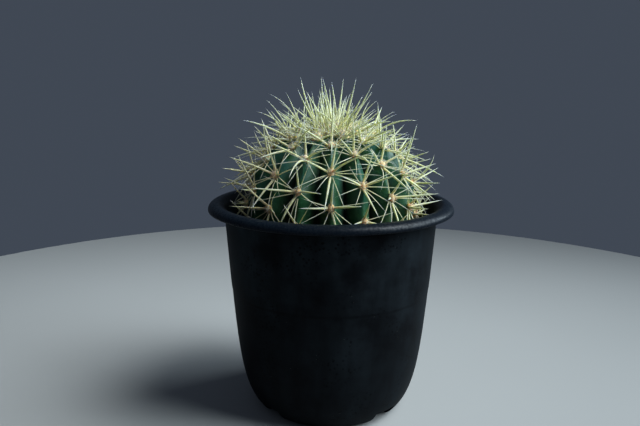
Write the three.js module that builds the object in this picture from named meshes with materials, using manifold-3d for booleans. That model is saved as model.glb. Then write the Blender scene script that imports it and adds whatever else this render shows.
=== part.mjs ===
// A round, many-ribbed barrel cactus in a black plastic nursery pot.
// Millimetres, +Z up. The origin is on the pot's axis, at the surface that the pot stands on, and -Y is the front.
import * as THREE from "three";
import { mergeVertices } from "three/addons/utils/BufferGeometryUtils.js";
import Module from "manifold-3d";

const wasm = await Module();
wasm.setup();
const { Manifold, Mesh: SolidMesh } = wasm;

// The pot: a tapered wall that turns in at the heel, a rolled lip, and a foot ring. Four drain notches cut the heel.
const POT_HEIGHT = 156;
const POT_SEGMENTS = 48;
const LIP_OUTER_R = 90;
const LIP_CREST_R = 84;
const LIP_DROP_OUT = 4.6;
const LIP_DROP_IN = 8;
const MOUTH_R = 78.8;
const TAPER = 0.066;
const HEEL_TURN_IN = 17.7;
const HEEL_FADE = 15;
const HEEL_POWER = 0.75;
const WALL = 1.8;
const OUTER_HEIGHTS = [1, 3, 6, 11, 18, 28, 42, 65];
const INNER_HEIGHTS = [11, 20, 36, 60, 90, 120];
const LEDGE_Z = 92;
const LEDGE_STEP = 0.3;
const FOOT_HEIGHT = 4;
const FOOT_WIDTH = 3;
const NOTCH_COUNT = 4;
const NOTCH_WIDTH = 19.5;
const NOTCH_HEIGHT = 10;
const NOTCH_REACH_IN = 5;
const NOTCH_TURN = 43.3;
const DRAIN_HOLE_R = 5;
const DRAIN_HOLE_SIDES = 12;
const DRAIN_RING_R = 30;
const DRAIN_RING_COUNT = 6;

// The soil fills the pot to a little below its mouth, and keeps a fine gap to the pot and the plant.
const SOIL_TOP = 134;
const SOIL_RINGS = 3;
const SOIL_RELIEF = 0.9;
const GAP = 0.3;

// The cactus body: a squat globe with sharp ribs, a dished crown, and a short woody root in the soil.
const BODY_R = 60;
const BODY_MIDDLE_Z = 149;
const BODY_UP = 56;
const BODY_DOWN = 50;
const BODY_SQUARENESS = 2.4;
const BURIED_LATITUDES = [-62, -35, -14];
const OPEN_LATITUDES = [0, 12, 24, 36, 48, 60, 70, 78];
const RIBS = 17;
const STEPS_PER_RIB = 6;
const GROOVE_DEPTH = 10.5;
const GROOVE_POWER = 1.35;
const CROWN_R = 15;
const CROWN_DIP = 3;
const ROOT_R = 9;
const ROOT_TIP_R = 4;
const ROOT_TIP_Z = 70;

// Areoles stand along each rib's crest. Arcs are measured down the crest from the middle of the crown.
const AREOLE_PITCH = 23;
const AREOLE_FIRST = 12.75;
const AREOLE_SHIFT = 7 / RIBS;
const AREOLE_LOWEST_Z = 140;

// Spines: centrals stand out of each areole, radials spread low round it, and young ones near the top are steeper.
const CENTRAL = { count: 4, length: 34, tilt: 44, rootR: 0.65, ringR: 1.2, shift: 0 };
const RADIAL = { count: 8, length: 25, tilt: 21, rootR: 0.5, ringR: 2.6, shift: 0.5 };
const YOUNG_TILT = 34;
const YOUNG_ARC = 48;
const SPINE_SIDES = 3;
const SPINE_SINK = 2.8;
const SPINE_CLEARANCE = 0.1;
const LENGTH_SPREAD = 0.2;
const TURN_SPREAD = 12;
const TILT_SPREAD = 8;
const PLACING_TRIES = 40;
const REACH_TOP = 246;
const REACH_R = 85;

// The crown: a cushion of wool in the dish, and the brush of young spines that grows out of it.
const WOOL_R = 13;
const WOOL_EDGE = 1.2;
const WOOL_RISE = 3.4;
const WOOL_SEGMENTS = 20;
const CROWN_SPINES = 110;
const CROWN_SPINE = { length: 41, rootR: 0.55 };
const CROWN_SPREAD = 52;
const GOLDEN_TURN = 180 * (3 - Math.sqrt(5));

const { degToRad, clamp, smoothstep } = THREE.MathUtils;

// A seeded draw from 0 to 1, so that every build places the spines alike.
let seed = 20417;
function random() {
  seed = (seed + 0x6d2b79f5) | 0;
  let mixed = Math.imul(seed ^ (seed >>> 15), 1 | seed);
  mixed = (mixed + Math.imul(mixed ^ (mixed >>> 7), 61 | mixed)) ^ mixed;
  return ((mixed ^ (mixed >>> 14)) >>> 0) / 2 ** 32;
}

function jitter(spread) {
  return (2 * random() - 1) * spread;
}

// A closed geometry as a solid for joining and cutting, and a solid as a geometry.
function toSolid(geometry) {
  const bare = geometry.clone();
  bare.deleteAttribute("normal");
  bare.deleteAttribute("uv");
  const merged = mergeVertices(bare, 1e-3);
  const vertProperties = new Float32Array(merged.attributes.position.array);
  const triVerts = new Uint32Array(merged.index.array);
  return new Manifold(new SolidMesh({ numProp: 3, vertProperties, triVerts }));
}

function toGeometry(solid) {
  const { vertProperties, triVerts } = solid.getMesh();
  const geometry = new THREE.BufferGeometry();
  geometry.setAttribute("position", new THREE.BufferAttribute(vertProperties, 3));
  geometry.setIndex(new THREE.BufferAttribute(triVerts, 1));
  geometry.computeVertexNormals();
  return geometry;
}

// Turns an outline of [radius, height] points about the Z axis. It runs from the bottom up the outer side.
function turned(outline, segments) {
  const points = outline.map(([r, z]) => new THREE.Vector2(r, z));
  return new THREE.LatheGeometry(points, segments).rotateX(Math.PI / 2);
}

function namedMesh(name, geometry, color, roughness) {
  const material = new THREE.MeshStandardMaterial({ color, roughness, metalness: 0 });
  const mesh = new THREE.Mesh(geometry, material);
  mesh.name = name;
  return mesh;
}

// The pot wall's outer radius at a height, and its inner radius beside it.
function wallOuter(z) {
  const ledge = z < LEDGE_Z ? LEDGE_STEP : 0;
  const turnIn = HEEL_TURN_IN * Math.exp(-Math.pow(z / HEEL_FADE, HEEL_POWER));
  return MOUTH_R - TAPER * (POT_HEIGHT - z) - turnIn - ledge;
}

function wallInner(z) {
  const fade = Math.pow(z / HEEL_FADE, HEEL_POWER);
  const slope = TAPER + (HEEL_TURN_IN * HEEL_POWER * fade * Math.exp(-fade)) / z;
  return wallOuter(z) - WALL * Math.hypot(1, slope);
}

// Points on the lip's rounded section, or a depth within it, by angle from outward. At 180 it meets the wall.
function lipArc(depth, wallR, angles) {
  return angles.map((degrees) => {
    const outward = degrees < 90;
    const across = outward ? LIP_OUTER_R - depth - LIP_CREST_R : LIP_CREST_R - wallR;
    const drop = outward ? LIP_DROP_OUT : LIP_DROP_IN;
    const angle = degToRad(degrees);
    return [LIP_CREST_R + across * Math.cos(angle), POT_HEIGHT - drop + (drop - depth) * Math.sin(angle)];
  });
}

// The lip rolls out and down from the mouth, and falls away more slowly inside. It is open underneath.
function lipOutline() {
  const neckZ = POT_HEIGHT - LIP_DROP_IN;
  return [
    ...lipArc(WALL, wallOuter(neckZ), [180, 150, 120, 90, 45, 0, -10]),
    ...lipArc(0, wallInner(neckZ), [-10, 0, 30, 60, 90, 120, 150, 180]),
  ];
}

function drainNotches() {
  const notches = [];
  for (let i = 0; i < NOTCH_COUNT; i++) {
    const notch = new THREE.BoxGeometry(NOTCH_WIDTH, 2 * HEEL_FADE, 2 * NOTCH_HEIGHT);
    notch.translate(0, NOTCH_REACH_IN - HEEL_FADE - wallOuter(0), 0);
    notch.rotateZ(degToRad(NOTCH_TURN + (i * 360) / NOTCH_COUNT));
    notches.push(toSolid(notch));
  }
  return notches;
}

function drainHoles() {
  const middle = new THREE.Vector2(0, 0);
  const places = [middle];
  for (let i = 0; i < DRAIN_RING_COUNT; i++) {
    const turn = degToRad((i * 360) / DRAIN_RING_COUNT);
    places.push(new THREE.Vector2(0, DRAIN_RING_R).rotateAround(middle, turn));
  }
  return places.map(({ x, y }) => {
    const hole = new THREE.CylinderGeometry(DRAIN_HOLE_R, DRAIN_HOLE_R, 4 * WALL, DRAIN_HOLE_SIDES);
    return toSolid(hole.rotateX(Math.PI / 2).translate(x, y, FOOT_HEIGHT));
  });
}

function pot() {
  const floorTop = FOOT_HEIGHT + WALL;
  const footR = wallOuter(0);
  const outline = [
    [0, FOOT_HEIGHT],
    [footR - FOOT_WIDTH, FOOT_HEIGHT],
    [footR - FOOT_WIDTH, 0],
    [footR, 0],
    ...OUTER_HEIGHTS.map((z) => [wallOuter(z), z]),
    [wallOuter(LEDGE_Z - LEDGE_STEP), LEDGE_Z - LEDGE_STEP],
    [wallOuter(LEDGE_Z), LEDGE_Z],
    ...lipOutline(),
    ...INNER_HEIGHTS.toReversed().map((z) => [wallInner(z), z]),
    [wallInner(floorTop), floorTop],
    [0, floorTop],
  ];
  let solid = toSolid(turned(outline, POT_SEGMENTS));
  for (const cut of [...drainNotches(), ...drainHoles()]) solid = solid.subtract(cut);
  return namedMesh("pot", toGeometry(solid), 0x17191c, 0.5);
}

// The cactus body's crest line as [radius, height], by latitude in degrees.
function crestPoint(latitude) {
  const angle = degToRad(latitude);
  const power = 2 / BODY_SQUARENESS;
  const rise = latitude < 0 ? -BODY_DOWN : BODY_UP;
  const up = Math.pow(Math.abs(Math.sin(angle)), power);
  return [BODY_R * Math.pow(Math.cos(angle), power), BODY_MIDDLE_Z + rise * up];
}

// The buried end of the plant, from the root's tip up to the soil, as [radius, height].
function buriedOutline() {
  const neckZ = BODY_MIDDLE_Z - BODY_DOWN;
  return [
    [ROOT_TIP_R, ROOT_TIP_Z],
    [ROOT_R, neckZ - ROOT_R],
    [2 * ROOT_R, neckZ],
    ...BURIED_LATITUDES.map(crestPoint),
  ];
}

// How far the skin lies in from the crest line, at a turn of -0.5 to 0.5 ribs away from a crest.
function grooveDepth(r, z, phase) {
  const towardCrown = Math.pow(clamp((r - CROWN_R) / (BODY_R - CROWN_R), 0, 1), 0.6);
  const towardRoot = smoothstep(z, BODY_MIDDLE_Z - BODY_DOWN, BODY_MIDDLE_Z - BODY_DOWN / 3);
  return GROOVE_DEPTH * towardCrown * towardRoot * Math.pow(2 * Math.abs(phase), GROOVE_POWER);
}

function bodyGeometry() {
  const dishZ = BODY_MIDDLE_Z + BODY_UP - CROWN_DIP;
  const open = OPEN_LATITUDES.map(crestPoint);
  const outline = [[0, ROOT_TIP_Z], ...buriedOutline(), ...open, [CROWN_R, dishZ], [0, dishZ]];
  const geometry = turned(outline, RIBS * STEPS_PER_RIB);
  const { position, normal } = geometry.attributes;
  const point = new THREE.Vector3();
  const outward = new THREE.Vector3();
  for (let i = 0; i < position.count; i++) {
    point.fromBufferAttribute(position, i);
    outward.fromBufferAttribute(normal, i);
    const turn = (RIBS * Math.atan2(point.x, -point.y)) / (2 * Math.PI);
    const depth = grooveDepth(Math.hypot(point.x, point.y), point.z, turn - Math.round(turn));
    point.addScaledVector(outward, -depth);
    position.setXYZ(i, point.x, point.y, point.z);
  }
  return geometry;
}

// The crest line from the crown's middle down, as points with the arc that leads to them.
function crestTable() {
  const table = [];
  let arc = 0;
  for (let latitude = 90; latitude > -45; latitude -= 0.5) {
    const [r, z] = crestPoint(latitude);
    const last = table[table.length - 1];
    if (last) arc += Math.hypot(r - last.r, z - last.z);
    table.push({ arc, r, z });
  }
  return table;
}

const CREST = crestTable();

function crestAt(arc) {
  const next = Math.max(1, CREST.findIndex((point) => point.arc >= arc));
  const [above, below] = [CREST[next - 1], CREST[next]];
  const share = (arc - above.arc) / (below.arc - above.arc);
  const r = above.r + share * (below.r - above.r);
  const z = above.z + share * (below.z - above.z);
  return { r, z, slope: Math.atan2(above.z - below.z, below.r - above.r) };
}

// Every areole between the wool and the soil: its place, its normal, and the directions up and across its rib.
function areoles() {
  const found = [];
  for (let rib = 0; rib < RIBS; rib++) {
    const turn = (rib * 2 * Math.PI) / RIBS;
    const across = new THREE.Vector3(Math.cos(turn), Math.sin(turn), 0);
    const first = AREOLE_FIRST + ((rib * AREOLE_SHIFT) % 1) * AREOLE_PITCH;
    for (let arc = first; crestAt(arc).z > AREOLE_LOWEST_Z; arc += AREOLE_PITCH) {
      const { r, z, slope } = crestAt(arc);
      if (r < CROWN_R + RADIAL.ringR) continue;
      const outward = new THREE.Vector3(Math.sin(turn), -Math.cos(turn), 0);
      const place = outward.clone().multiplyScalar(r).setZ(z);
      const normal = outward.clone().multiplyScalar(Math.sin(slope)).setZ(Math.cos(slope));
      const up = new THREE.Vector3().crossVectors(normal, across);
      found.push({ place, normal, up, across, arc });
    }
  }
  return found;
}

// The least distance between two spines' centre lines.
function spineDistance(a, b) {
  const u = a.tip.clone().sub(a.root);
  const v = b.tip.clone().sub(b.root);
  const w = a.root.clone().sub(b.root);
  const [uu, uv, vv, uw, vw] = [u.dot(u), u.dot(v), v.dot(v), u.dot(w), v.dot(w)];
  const skew = uu * vv - uv * uv;
  const s = skew > 1e-9 ? clamp((uv * vw - vv * uw) / skew, 0, 1) : 0;
  const t = clamp((uv * s + vw) / vv, 0, 1);
  const nearest = clamp((uv * t - uw) / uu, 0, 1);
  return w.addScaledVector(u, nearest).addScaledVector(v, -t).length();
}

// A point is open where it is above the soil, inside the pot's mouth or over its lip, and within the plant's reach.
function isOpen(point) {
  const r = Math.hypot(point.x, point.y);
  if (point.z > POT_HEIGHT + WALL) return point.z < REACH_TOP && r < REACH_R;
  return point.z > SOIL_TOP + 3 * SOIL_RELIEF && r < wallInner(SOIL_TOP) - WALL;
}

function isClear(spine, placed) {
  const line = new THREE.Line3(spine.root, spine.tip);
  for (let tenths = 2; tenths <= 10; tenths++)
    if (!isOpen(line.at(tenths / 10, new THREE.Vector3()))) return false;
  return placed.every((other) => spineDistance(spine, other) > other.rootR + spine.rootR + SPINE_CLEARANCE);
}

// Grows a spine from its seat on a ring, and turns, tilts and shortens it ever more until it is clear of the rest.
function grow(areole, { turn, tilt, length, rootR, ringR }, placed) {
  const ring = areole.up.clone().multiplyScalar(Math.cos(turn)).addScaledVector(areole.across, Math.sin(turn));
  const seat = areole.place.clone().addScaledVector(ring, ringR);
  const root = seat.clone().addScaledVector(areole.normal, -SPINE_SINK);
  for (let attempt = 0; attempt < PLACING_TRIES; attempt++) {
    const looser = 1 + attempt / 10;
    const swing = jitter(degToRad(TURN_SPREAD) * looser);
    const lift = Math.min(tilt + jitter(degToRad(TILT_SPREAD) * looser), Math.PI / 2);
    const reach = length * (1 + jitter(LENGTH_SPREAD)) * (1 - attempt / (2 * PLACING_TRIES));
    const lean = ring.clone().applyAxisAngle(areole.normal, swing).multiplyScalar(reach * Math.cos(lift));
    const tip = seat.clone().add(lean).addScaledVector(areole.normal, reach * Math.sin(lift));
    const spine = { root, tip, rootR };
    if (isClear(spine, placed)) {
      placed.push(spine);
      return;
    }
  }
}

function spineSolid({ root, tip, rootR }) {
  const length = root.distanceTo(tip);
  const cone = new THREE.ConeGeometry(rootR, length, SPINE_SIDES).translate(0, length / 2, 0);
  const direction = tip.clone().sub(root).normalize();
  cone.applyQuaternion(new THREE.Quaternion().setFromUnitVectors(new THREE.Vector3(0, 1, 0), direction));
  return toSolid(cone.translate(root.x, root.y, root.z));
}

// One central points down the rib, and the radials take even turns between the centrals.
function growAreole(areole, placed) {
  const young = YOUNG_TILT * (1 - smoothstep(areole.arc, CROWN_R, YOUNG_ARC));
  for (const kind of [CENTRAL, RADIAL]) {
    for (let i = 0; i < kind.count; i++) {
      const turn = Math.PI + degToRad(((i + kind.shift) * 360) / kind.count);
      grow(areole, { ...kind, turn, tilt: degToRad(kind.tilt + young) }, placed);
    }
  }
}

function cactus(placed) {
  areoles().forEach((areole) => growAreole(areole, placed));
  const solid = Manifold.union([toSolid(bodyGeometry()), ...placed.map(spineSolid)]);
  return namedMesh("cactus", toGeometry(solid), 0x2f5a38, 0.55);
}

function woolGeometry(bottom) {
  const dome = [0, 25, 50].map((latitude) => {
    const angle = degToRad(latitude);
    return [WOOL_R * Math.cos(angle), bottom + WOOL_EDGE + WOOL_RISE * Math.sin(angle)];
  });
  const top = [0, bottom + WOOL_EDGE + WOOL_RISE];
  return turned([[0, bottom], [WOOL_R - WOOL_EDGE, bottom], ...dome, top], WOOL_SEGMENTS);
}

// The crown's spines stand on a sunflower spiral, upright in the middle and leaning out at the edge.
function crown(placed) {
  const bottom = BODY_MIDDLE_Z + BODY_UP - CROWN_DIP + GAP;
  const older = placed.length;
  const seat = {
    place: new THREE.Vector3(0, 0, bottom + WOOL_EDGE / 2 + SPINE_SINK),
    normal: new THREE.Vector3(0, 0, 1),
    up: new THREE.Vector3(0, -1, 0),
    across: new THREE.Vector3(1, 0, 0),
  };
  for (let i = 0; i < CROWN_SPINES; i++) {
    const share = Math.sqrt((i + 0.5) / CROWN_SPINES);
    const turn = degToRad(i * GOLDEN_TURN);
    const tilt = degToRad(90 - CROWN_SPREAD * share);
    const ringR = share * (WOOL_R - 2 * WOOL_EDGE);
    grow(seat, { ...CROWN_SPINE, turn, tilt, ringR }, placed);
  }
  const solid = Manifold.union([toSolid(woolGeometry(bottom)), ...placed.slice(older).map(spineSolid)]);
  return namedMesh("crown", toGeometry(solid), 0xd8d39a, 0.7);
}

// The low crumbs on top of the soil, as a height at a place.
function crumbHeight(x, y) {
  return SOIL_RELIEF * Math.sin(0.61 * x + 0.17 * y) * Math.cos(0.53 * y - 0.23 * x);
}

// The soil fills the pot round a plain hollow, wide enough that its flat sides clear the round plant.
function soil() {
  const bottom = FOOT_HEIGHT + WALL + GAP;
  const flatsToCorners = 1 / Math.cos(Math.PI / POT_SEGMENTS);
  const fillR = (z) => wallInner(z) - 2 * GAP;
  const hollowR = (BODY_R + GAP) * flatsToCorners;
  const top = [];
  for (let ring = 0; ring <= SOIL_RINGS; ring++)
    top.push([THREE.MathUtils.lerp(fillR(SOIL_TOP), hollowR, ring / SOIL_RINGS), SOIL_TOP]);
  const hollow = buriedOutline().toReversed().map(([r, z]) => [(r + GAP) * flatsToCorners, z - 2 * GAP]);
  const side = [bottom, ...INNER_HEIGHTS].map((z) => [fillR(z), z]);
  const outline = [[0, bottom], ...side, ...top, ...hollow, [0, ROOT_TIP_Z - 2 * GAP]];
  const geometry = turned(outline, POT_SEGMENTS);
  const { position } = geometry.attributes;
  for (let i = 0; i < position.count; i++) {
    const [x, y, z] = [position.getX(i), position.getY(i), position.getZ(i)];
    const isTop = Math.abs(z - SOIL_TOP) < GAP && Math.hypot(x, y) < fillR(SOIL_TOP) - GAP;
    if (isTop) position.setZ(i, z + crumbHeight(x, y));
  }
  return namedMesh("soil", toGeometry(toSolid(geometry)), 0x2b211a, 0.95);
}

const plant = new THREE.Group();
const placed = [];
plant.add(pot(), soil(), cactus(placed), crown(placed));

export default plant;
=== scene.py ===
import math
from functools import partialmethod

import bmesh
import bpy
import numpy as np
from mathutils import Matrix, Vector, noise


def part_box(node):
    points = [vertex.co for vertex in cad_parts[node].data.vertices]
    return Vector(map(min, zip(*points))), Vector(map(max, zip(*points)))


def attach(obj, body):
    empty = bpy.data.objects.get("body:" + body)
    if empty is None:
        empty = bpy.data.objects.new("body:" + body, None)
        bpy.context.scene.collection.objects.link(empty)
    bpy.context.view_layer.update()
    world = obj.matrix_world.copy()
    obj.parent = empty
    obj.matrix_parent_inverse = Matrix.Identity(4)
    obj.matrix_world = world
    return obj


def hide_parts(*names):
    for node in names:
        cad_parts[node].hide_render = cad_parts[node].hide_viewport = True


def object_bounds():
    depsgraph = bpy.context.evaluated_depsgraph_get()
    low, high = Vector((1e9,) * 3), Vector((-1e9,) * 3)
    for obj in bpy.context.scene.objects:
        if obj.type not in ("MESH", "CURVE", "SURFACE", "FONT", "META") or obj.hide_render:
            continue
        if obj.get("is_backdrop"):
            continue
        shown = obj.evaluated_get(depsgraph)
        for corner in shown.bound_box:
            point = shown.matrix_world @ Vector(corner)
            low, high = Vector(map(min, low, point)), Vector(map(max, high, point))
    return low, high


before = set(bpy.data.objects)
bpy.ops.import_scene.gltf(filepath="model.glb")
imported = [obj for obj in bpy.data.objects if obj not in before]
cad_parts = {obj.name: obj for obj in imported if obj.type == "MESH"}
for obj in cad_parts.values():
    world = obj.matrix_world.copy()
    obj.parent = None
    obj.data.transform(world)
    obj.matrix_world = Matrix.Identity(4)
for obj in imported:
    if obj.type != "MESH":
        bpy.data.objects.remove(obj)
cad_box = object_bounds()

MM = 0.001
BODY = "root"

# The least that a power is taken of, and the least that is divided by.
TINY = 1e-9
PARALLEL = 1e-20

# The camera of the photograph, solved from the pot's ellipses, for a picture 640 wide.
PICTURE_WIDTH = 640
FOCAL_PIXELS = 616
SENSOR_WIDTH = 36
CAMERA_PLACE = Vector((0, -450, 240.8)) * MM
CAMERA_NEAREST = 10 * MM
CAMERA_PITCH = math.radians(11.93)
CAMERA_YAW = math.radians(-1.01)
CAMERA_ROLL = math.radians(0.27)

# The lamps: name, place, height of the point on the axis that it faces, size, spread of the beam in degrees,
# power and colour.
LAMPS = (
    ("key", (1.12, -0.30, 0.84), 0.20, 0.90, 56, 2.55, (0.77, 0.91, 1.0)),
    ("side", (1.14, 0.50, 0.76), 0.20, 0.70, 50, 1.20, (0.74, 0.89, 1.0)),
    ("top", (0.60, -0.08, 1.08), 0.22, 0.80, 50, 2.05, (0.88, 0.96, 1.0)),
)

# The pot. Angles on its lip are in degrees from outward.
POT_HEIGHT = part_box("pot")[1].z
LIP_OUTER_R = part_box("pot")[1].x
POT_SEGMENTS = 192
POT_SHARP_ANGLE = 40
MOUTH_R = 78.8 * MM
TAPER = 0.066
HEEL_TURN_IN = 17.7 * MM
HEEL_FADE = 15 * MM
HEEL_POWER = 0.75
WALL = 1.8 * MM
ROUNDING = 0.3 * MM
LEDGE_Z = 92 * MM
LEDGE_STEP = 0.3 * MM
FOOT_HEIGHT = 4 * MM
FOOT_WIDTH = 3 * MM
LIP_CREST_R = 84 * MM
LIP_DROP_OUT = 4.6 * MM
LIP_DROP_IN = 8 * MM
LIP_UNDERSIDE_END = -12
LIP_OUTSIDE_START = -10
NOTCH_COUNT = 4
NOTCH_WIDTH = 19.5 * MM
NOTCH_HEIGHT = 10 * MM
NOTCH_REACH_IN = 5 * MM
NOTCH_TURN = 43.3
DRAIN_HOLE_R = 5 * MM
DRAIN_HOLE_SEGMENTS = 32
DRAIN_RING_R = 30 * MM
DRAIN_RING_COUNT = 6

# The cactus body. Latitudes are in degrees. The fine rows are those that show.
BODY_R = 60 * MM
BODY_MIDDLE_Z = 149 * MM
BODY_UP = 56 * MM
BODY_DOWN = 50 * MM
BODY_TOP_Z = BODY_MIDDLE_Z + BODY_UP
BODY_SQUARENESS = 2.4
BODY_SHARP_ANGLE = 50
NECK_LATITUDE = -62
FINE_ROWS_LOWEST = -34
FINE_ROWS_HIGHEST = 78
FINE_ROWS = 150
BURIED_ROWS = 6
NECK_Z = BODY_MIDDLE_Z - BODY_DOWN
ROOT_R = 9 * MM
ROOT_TIP_R = 4 * MM
ROOT_TIP_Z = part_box("cactus")[0].z
RIBS = 17
STEPS_PER_RIB = 22
GROOVE_DEPTH = 10.5 * MM
GROOVE_POWER = 1.35
GROOVE_START_POWER = 0.6
HUMP = 2.5 * MM
HUMP_BELOW = 0.10
HUMP_NARROWNESS = 2.3
HUMP_SIDE_POWER = 1.3
HUMP_LENGTH_POWER = 1.8
HUMP_START = 1.5
BUMP = 0.35 * MM
BUMP_SIZE = 7 * MM
CROWN_R = 15 * MM
CROWN_DIP = 3 * MM
CREST_TABLE_END = -45
CREST_TABLE_STEP = 0.25

# The soil, with a small gap to the wall and round what the plant has buried in it.
SOIL_TOP = 134 * MM
SOIL_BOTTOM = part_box("soil")[0].z
SOIL_SEGMENTS = 160
SOIL_SIDE_ROWS = 14
SOIL_RINGS = 14
SOIL_OFF_BODY = 0.4 * MM
SOIL_GAP = 0.5 * MM
SOIL_GAP_BELOW = 0.6 * MM
SOIL_HOLLOW_LATITUDES = (-16, -24, -35, -48, NECK_LATITUDE)
SOIL_RELIEF = 1.1 * MM
SOIL_LUMP = 5 * MM
SOIL_CRUMB = 2 * MM

# Loose grains on it. Sizes and lifts are in millimetres.
GRAINS = 1300
GRAIN_OFF_BODY = 1.5 * MM
GRAIN_OFF_WALL = 2.2 * MM
GRAIN_SIZES = (1.1, 3.2)
GRAIN_LIFTS = (-0.2, 0.7)
GRAIN_STRETCHES = ((0.8, 1.5), (0.7, 1.1), (0.5, 0.9))
GRAIN_ROUGHNESS = 0.35
GRAIN_LUMPS = 2.2
GRAIN_SHIFT = 50

# Areoles, by their arc down the rib's crest from the crown's middle.
AREOLE_PITCH = 23 * MM
AREOLE_FIRST = 12.75 * MM
AREOLE_SHIFT = 7 / RIBS
AREOLE_LOWEST_Z = 140 * MM
AREOLE_OFF_CROWN = 3 * MM
AREOLE_ON_HUMP = 0.8
YOUNG_ARC = 48 * MM
LOW_Z = (148 * MM, 168 * MM)

# How worn low areoles are, more at the right, and the browning at the left, higher up too, that is painted
# shade, by the sine of the turn.
WEAR_Z = (170 * MM, 145 * MM)
WEAR = 0.5
RIGHT_SIDE = (0.5, 0.95)
RIGHT_WEAR = 0.4
# Painted shade: spines on the left side, away from the lamps, are browned as if worn.
LEFT_SIDE = (0.1, 0.9)
LEFT_SHADE = 0.9
LEFT_SHADE_Z = (204 * MM, 182 * MM)

# Felt pads, and hairs of felt and wool, with their lengths in millimetres.
PAD_ROWS = 4
PAD_SIDES = 12
PAD_LUMPS = 0.12
PAD_SINK = 0.8 * MM
PAD_WIDE = 1.8 * MM
PAD_TALL = 2.3 * MM
PAD_HIGH = 2.0 * MM
PAD_SIZE = 1.3
YOUNG_PAD_GROWTH = 1.5
PAD_HAIRS = 70
PAD_HAIR_SINK = 0.9 * MM
OLD_FELT_Z = (178 * MM, 196 * MM)
HAIR_SIDES = 3
HAIR_TAPER = 0.7
HAIR_BENDS = (0.1, 0.5)
HAIR_MIDDLE = 0.55
HAIR_MIDDLE_BEND = 0.3
HAIR_TIP = 0.9
FELT_HAIR_R = 0.10 * MM
FELT_HAIR_LENGTHS = (1.2, 2.4)
WOOL_HAIR_R = 0.11 * MM
WOOL_HAIR_LENGTHS = (2.0, 4.2)

# The crown's wool, and the seats of its spines. Angles are in degrees.
CROWN_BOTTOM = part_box("crown")[0].z
CROWN_CLUSTERS = 20
CROWN_SPREAD_R = 12 * MM
CROWN_LEAN = 46
WOOL_R = 14 * MM
WOOL_RISE = 3.6 * MM
WOOL_EDGE = 1.2 * MM
WOOL_SEGMENTS = 72
WOOL_ROWS = 12
WOOL_LAST_ROW = 84
WOOL_LUMPS = 0.03
WOOL_LUMP_SIZE = 2.2 * MM
WOOL_HAIRS = 1500
WOOL_LEAN = 1.1
WOOL_TANGLE = 0.5
WOOL_HAIR_SINK = 0.6 * MM
TUFT_SIZE = 2.6
TUFT_HAIRS = 80
TUFT_AGE = 0.3

# Spines. Their reach narrows toward the top, and a spine may stray some way out of it.
SPINE_SIDES = 6
SPINE_STEPS = 9
SPINE_SINK = 1.6 * MM
SPINE_TAPER_POWER = 2.4
ROOT_FLARE = 0.15
ROOT_FLARE_LENGTH = 0.05
STEEPEST = math.radians(96)
SPINE_CLEARANCE = 0.1 * MM
SPINE_OVER_SOIL = 3 * MM
BODY_CLEARANCE = 0.93
PLACING_TRIES = 30
TRIES_TO_LOOSEN = 8
TRIES_TO_VANISH = 2.5 * PLACING_TRIES
REACH_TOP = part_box("crown")[1].z
REACH_R = 85 * MM
REACH_R_AT_TOP = 28 * MM
REACH_WIDENING = 0.80
STRAY = 20 * MM

# Kinds of spine: the root's radius and distance from the seat's middle, swing and curve in degrees, and the
# spread of the length.
STRONG = {"root_r": 0.80 * MM, "ring_r": 0.9 * MM, "swing": 7, "spread": 0.18, "curve": (2, 16)}
FINE = {"root_r": 0.33 * MM, "ring_r": 1.7 * MM, "swing": 18, "spread": 0.28, "curve": (4, 26)}
DROOPING = {**FINE, "root_r": 0.46 * MM, "length": 35 * MM, "swing": 30}
SHORT = {**FINE, "root_r": 0.36 * MM, "length": 17 * MM, "swing": 20}
TALL = {**STRONG, "root_r": 0.86 * MM, "length": 38 * MM, "swing": 40, "spread": 0.24, "curve": (2, 10)}
MIDDLING = {**STRONG, "root_r": 0.66 * MM, "length": 26 * MM, "swing": 30, "spread": 0.25}
SPREADING = {**FINE, "root_r": 0.40 * MM, "length": 17 * MM, "swing": 30, "spread": 0.35}
TILT_SWING = 6
ARCHED_CURVE = (38, 66)
ARCHING = 0.12
YOUNG_ARCHING = 0.1
CROWN_ARCHING = 0.06

# An areole's long spines: turn from straight up the rib and tilt in degrees, length in millimetres, and what
# full youth adds to the tilt, to the length as a share, and to the curve.
LONG_SPINES = (
    (180, 27, 37, 22, 0.25, 18),
    (88, 42, 31, 0, 0, 8),
    (272, 42, 31, 0, 0, 8),
    (0, 48, 30, 4, -0.15, 0),
)
LOW_SHORTENING = 0.35

# Its fine spines on each side: turn and length. Some are missing, more of them low down.
FINE_SPINES = ((158, 27), (134, 22), (110, 26), (68, 24), (36, 19))
FINE_TILT = 17
YOUNG_FINE_TILT = 9
MISSING = 0.2
MISSING_LOW = 0.55

# Younger areoles also have two drooping spines and a circle of short ones. Angles are in degrees.
YOUNG = 0.4
DROOPING_TURNS = (180 + 35, 180 - 35)
DROOPING_TILT = 62
SHORT_TURNS = range(0, 360, 40)
SHORT_TILTS = (12, 50)

# The crown's spines at each seat: kind, number, least and greatest tilt, and the spread of the first turn.
CROWN_SPINES = ((TALL, 1, 58, 84, 0.9), (MIDDLING, 5, 42, 80, math.pi), (SPREADING, 22, 2, 66, math.pi))

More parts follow.
